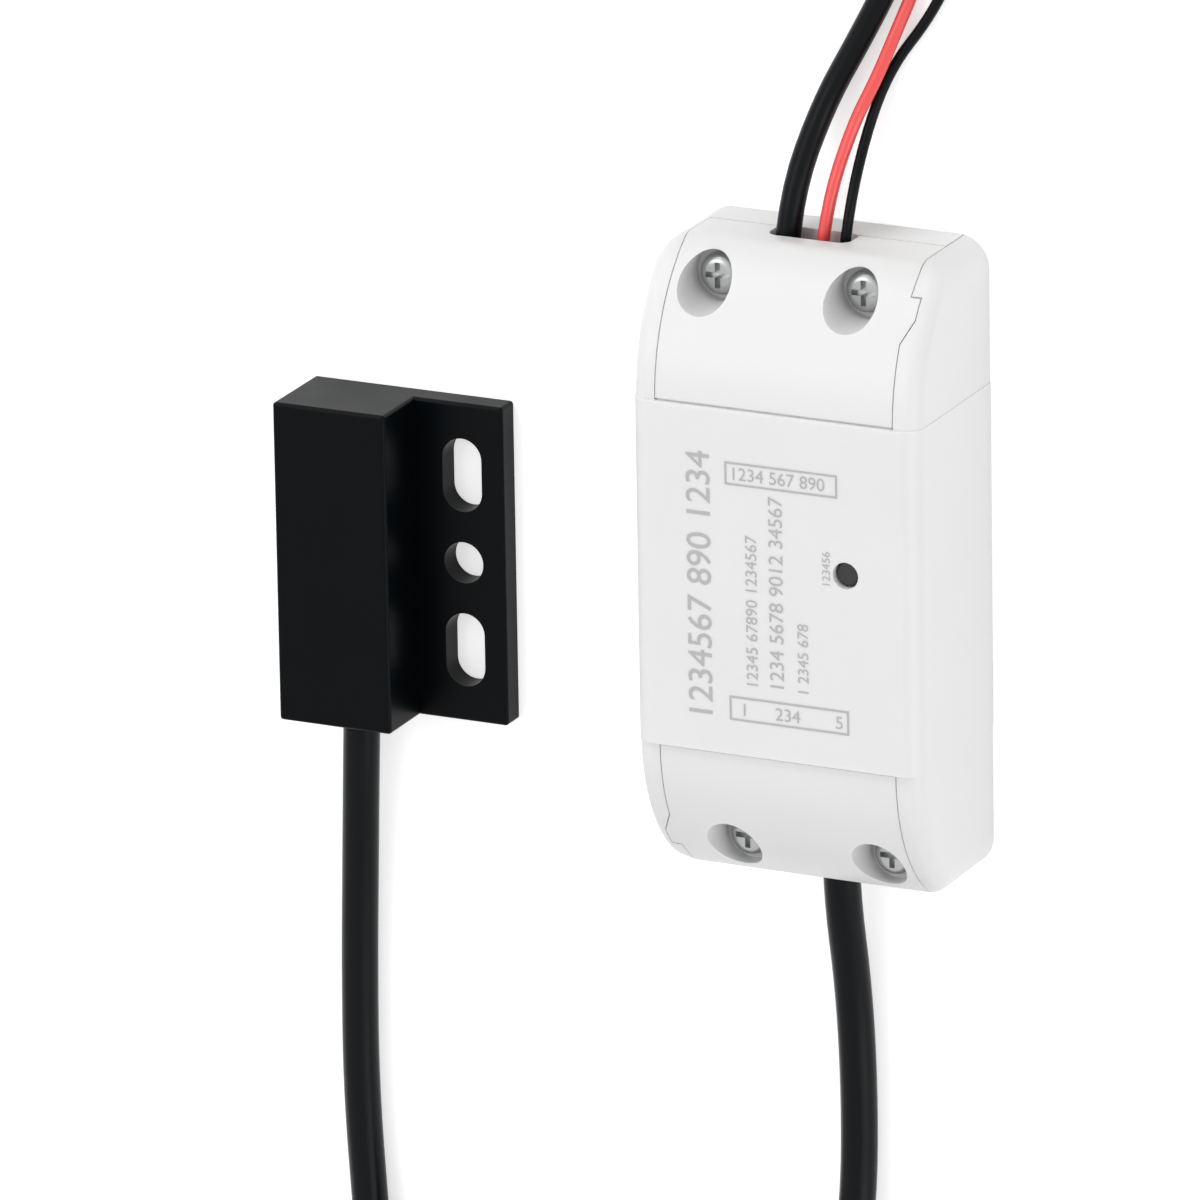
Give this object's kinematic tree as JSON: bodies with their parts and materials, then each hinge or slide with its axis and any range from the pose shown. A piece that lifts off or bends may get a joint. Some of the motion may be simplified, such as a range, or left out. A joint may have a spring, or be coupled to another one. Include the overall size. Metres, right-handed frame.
{
  "type": "gate controller with wired position sensor",
  "caption": "Flat white gate controller box with leads at both ends, wired to a black reed position sensor with a slotted mounting flange.",
  "frame": {"origin": "middle of the common footprint of the controller and the sensor, on the surface they lie on", "axes": "+X from the sensor to the controller, +Y towards the controller's end with three leads, +Z out of the front faces"},
  "size_m": [0.1239, 0.3197, 0.025],
  "materials": {
    "white_case": "satin white ABS with a fine moulded grain",
    "zinc_screw": "zinc plated steel",
    "board_green": "solder masked glass epoxy",
    "terminal_plastic": "moulded polyamide",
    "plated_brass": "tin and gold plated brass",
    "switch_black": "moulded black plastic",
    "spring_steel": "nickel plated sheet steel",
    "relay_blue": "glossy relay cover",
    "relay_iron": "plated soft iron",
    "bobbin_plastic": "moulded bobbin plastic",
    "winding_copper": "enamelled copper wire",
    "capacitor_sleeve": "shrunk sleeve",
    "chip_black": "moulded epoxy",
    "light_lens": "clear lens",
    "bush_rubber": "soft rubber",
    "sensor_black": "satin black moulded plastic",
    "reed_glass": "clear glass",
    "core_insulation": "wire insulation",
    "black_jacket": "glossy black flexible jacket",
    "red_insulation": "glossy red wire insulation",
    "tie_plastic": "soft black strap",
    "tinned_copper": "solder tinned strands",
    "grey_print": "thin grey ink on the white front"
  },
  "bodies": {
    "controller": {"base_tray": "white_case", "front_shell": "white_case", "upper_end_cover": "white_case", "lower_end_cover": "white_case", "end_cover_screws": "zinc_screw", "main_board": "board_green", "board_screws": "zinc_screw", "upper_terminal_block": "terminal_plastic", "lower_terminal_block": "terminal_plastic", "terminal_cages": "plated_brass", "terminal_screws": "zinc_screw", "switch_body": "switch_black", "switch_frame": "spring_steel", "switch_dome": "spring_steel", "relay_base": "switch_black", "relay_cover": "relay_blue", "relay_pins": "plated_brass", "relay_yoke": "relay_iron", "relay_core": "relay_iron", "relay_bobbin": "bobbin_plastic", "relay_winding": "winding_copper", "relay_contacts": "plated_brass", "radio_board": "board_green", "radio_can": "spring_steel", "capacitors": "capacitor_sleeve", "driver_parts": "chip_black", "status_light": "light_lens", "upper_bush": "bush_rubber", "lower_bush": "bush_rubber", "power_lead_tail": "black_jacket", "red_wire_tail": "red_insulation", "black_wire_tail": "black_jacket", "sensor_cable_tail": "black_jacket", "sensor_housing": "sensor_black", "sensor_back_plate": "sensor_black", "reed_board": "board_green", "reed_tube": "reed_glass", "reed_blades": "plated_brass", "sensor_cores": "core_insulation", "power_lead": "black_jacket", "power_lead_to_plug": "black_jacket", "red_wire": "red_insulation", "red_wire_end": "red_insulation", "black_wire": "black_jacket", "black_wire_end": "black_jacket", "sensor_cable_at_controller": "black_jacket", "sensor_cable_at_sensor": "black_jacket", "sensor_cable_coil": "black_jacket", "power_lead_coil": "black_jacket", "red_wire_coil": "red_insulation", "black_wire_coil": "black_jacket", "coil_ties": "tie_plastic", "plug_body": "black_jacket", "plug_shell": "spring_steel", "plug_tongue": "bobbin_plastic", "plug_contacts": "plated_brass", "bare_wire_tips": "tinned_copper"},
    "button": {"pairing_button": "switch_black"},
    "armature": {"relay_armature": "relay_iron", "relay_blade": "plated_brass"}
  },
  "joints": [
    {"name": "button_press", "type": "slide", "parent": "controller", "child": "button", "axis": [0, 0, -1], "range_m": [0, 0.0004], "stiffness_N_per_m": 4000, "springref_m": -0.0001, "deforming": ["switch_dome"]},
    {"name": "armature_pull", "type": "hinge", "parent": "controller", "child": "armature", "pos_m": [0.02265, 0.00465, 0.0185], "axis": [-1, 0, 0], "range_deg": [0, 5], "stiffness_Nm_per_rad": 0.02, "springref_deg": -5.73}
  ]
}
